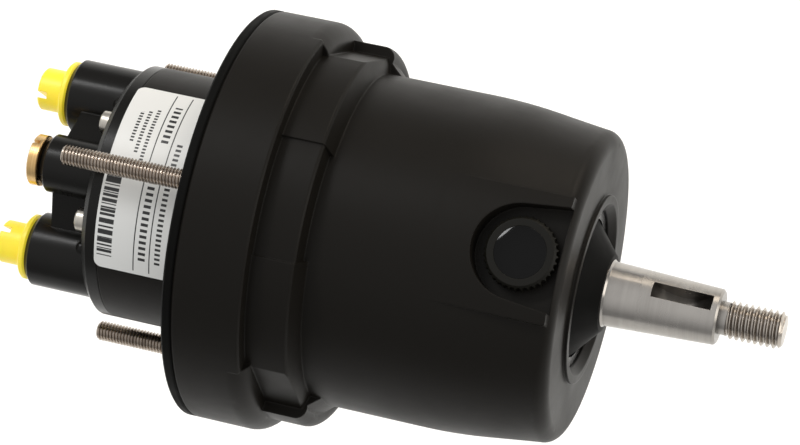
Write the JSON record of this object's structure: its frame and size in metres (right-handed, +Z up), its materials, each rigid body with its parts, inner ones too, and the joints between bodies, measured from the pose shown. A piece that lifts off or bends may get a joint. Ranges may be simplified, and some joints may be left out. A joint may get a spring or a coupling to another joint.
{
  "type": "hydraulic helm pump",
  "caption": "Front-mount hydraulic helm pump: axial piston pump in a cast drum with studded flange, tapered keyed wheel shaft, filler plug and capped rear hose ports.",
  "frame": {"origin": "centre of the circle of mounting studs, on the rear face of the flange's gasket, which meets the dashboard", "axes": "+Y from the mounting face to the rear, through the dashboard, so the wheel shaft points along -Y; +Z up, the side of the filler plug; +X to the right for someone facing the wheel"},
  "size_m": [0.123, 0.2328, 0.123],
  "materials": {
    "housing_paint": "satin black powder coat on an aluminium casting",
    "cover_paint": "semi-gloss black coat",
    "rubber": "matte black",
    "stud_steel": "plain stainless thread",
    "screw_steel": "stainless",
    "cap_yellow": "soft bright yellow plastic",
    "brass": "turned",
    "bronze": "turned bearing bronze",
    "valve_block": "machined",
    "hard_steel": "ground",
    "spring_steel": "drawn wire",
    "shaft_steel": "turned stainless",
    "clip_black": "black oxide",
    "plug_plastic": "dark moulded",
    "badge_gloss": "domed, glossy black and bare"
  },
  "bodies": {
    "housing": {"front_housing": "housing_paint", "pump_casing": "housing_paint", "rear_cover": "cover_paint", "mounting_gasket": "rubber", "casing_oring": "rubber", "cover_oring": "rubber", "vent_plug_oring": "rubber", "shaft_seal": "rubber", "mounting_studs": "stud_steel", "cover_screws": "screw_steel", "port_cap_left": "cap_yellow", "port_cap_right": "cap_yellow", "vent_plug": "brass", "check_seat_left": "brass", "check_seat_right": "brass", "port_plate": "bronze", "rear_bush": "bronze", "lock_valve_block": "valve_block", "valve_end_plug_left": "hard_steel", "valve_end_plug_right": "hard_steel", "swash_plate": "hard_steel", "swash_dowel": "hard_steel", "bearing_outer_race": "hard_steel", "check_spring_left": "spring_steel", "check_spring_right": "spring_steel", "casing_circlip": "clip_black", "nose_circlip": "clip_black"},
    "shaft_assembly": {"shaft": "shaft_steel", "rotor_key": "hard_steel", "bearing_inner_race": "hard_steel", "rotor": "hard_steel", "dust_boot": "rubber", "piston_1": "hard_steel", "piston_2": "hard_steel", "piston_3": "hard_steel", "piston_4": "hard_steel", "piston_5": "hard_steel", "piston_6": "hard_steel", "piston_7": "hard_steel", "piston_spring_1": "spring_steel", "piston_spring_2": "spring_steel", "piston_spring_3": "spring_steel", "piston_spring_4": "spring_steel", "piston_spring_5": "spring_steel", "piston_spring_6": "spring_steel", "piston_spring_7": "spring_steel"},
    "ball_bearing_train": {"bearing_balls": "hard_steel", "bearing_cage": "bronze"},
    "thrust_ball_train": {"thrust_balls": "hard_steel", "thrust_cage": "bronze"},
    "swash_race": {"thrust_race": "hard_steel"},
    "lock_spool": {"lock_spool": "hard_steel"},
    "check_poppet_left": {"check_poppet_left": "hard_steel"},
    "check_poppet_right": {"check_poppet_right": "hard_steel"},
    "filler_plug_seal": {"filler_plug_oring": "rubber"},
    "filler_plug": {"filler_plug": "plug_plastic", "plug_badge": "badge_gloss"}
  },
  "joints": [
    {"name": "shaft_spin", "type": "hinge", "parent": "housing", "child": "shaft_assembly", "pos_m": [0, 0, 0], "axis": [0, -1, 0], "continuous": true},
    {"name": "bearing_train_spin", "type": "hinge", "parent": "housing", "child": "ball_bearing_train", "pos_m": [0, -0.09215, 0], "axis": [0, -1, 0], "continuous": true},
    {"name": "thrust_train_spin", "type": "hinge", "parent": "housing", "child": "thrust_ball_train", "pos_m": [0, -0.06703, 0], "axis": [0, -0.9397, -0.342], "continuous": true},
    {"name": "swash_race_spin", "type": "hinge", "parent": "housing", "child": "swash_race", "pos_m": [0, -0.06703, 0], "axis": [0, -0.9397, -0.342], "continuous": true},
    {"name": "lock_spool_slide", "type": "slide", "parent": "housing", "child": "lock_spool", "axis": [1, 0, 0], "range_m": [-0.0012, 0.0012]},
    {"name": "check_poppet_left_lift", "type": "slide", "parent": "housing", "child": "check_poppet_left", "axis": [-1, 0, 0], "range_m": [0, 0.0015], "stiffness_N_per_m": 400, "springref_m": -0.002, "deforming": ["check_spring_left"]},
    {"name": "check_poppet_right_lift", "type": "slide", "parent": "housing", "child": "check_poppet_right", "axis": [1, 0, 0], "range_m": [0, 0.0015], "stiffness_N_per_m": 400, "springref_m": -0.002, "deforming": ["check_spring_right"]},
    {"name": "filler_plug_rise", "type": "slide", "parent": "housing", "child": "filler_plug_seal", "axis": [0, 0, 1], "range_m": [0, 0.006]},
    {"name": "filler_plug_turn", "type": "hinge", "parent": "filler_plug_seal", "child": "filler_plug", "pos_m": [0, -0.0965, 0.042], "axis": [0, 0, 1], "range_deg": [0, 1440]}
  ],
  "couplings": [
    {"joint": "bearing_train_spin", "follows": "shaft_spin", "ratio": 0.38152},
    {"joint": "thrust_train_spin", "follows": "shaft_spin", "ratio": 0.5},
    {"joint": "swash_race_spin", "follows": "shaft_spin", "ratio": 1},
    {"joint": "filler_plug_turn", "follows": "filler_plug_rise", "rad_per_m": 4188.8}
  ]
}
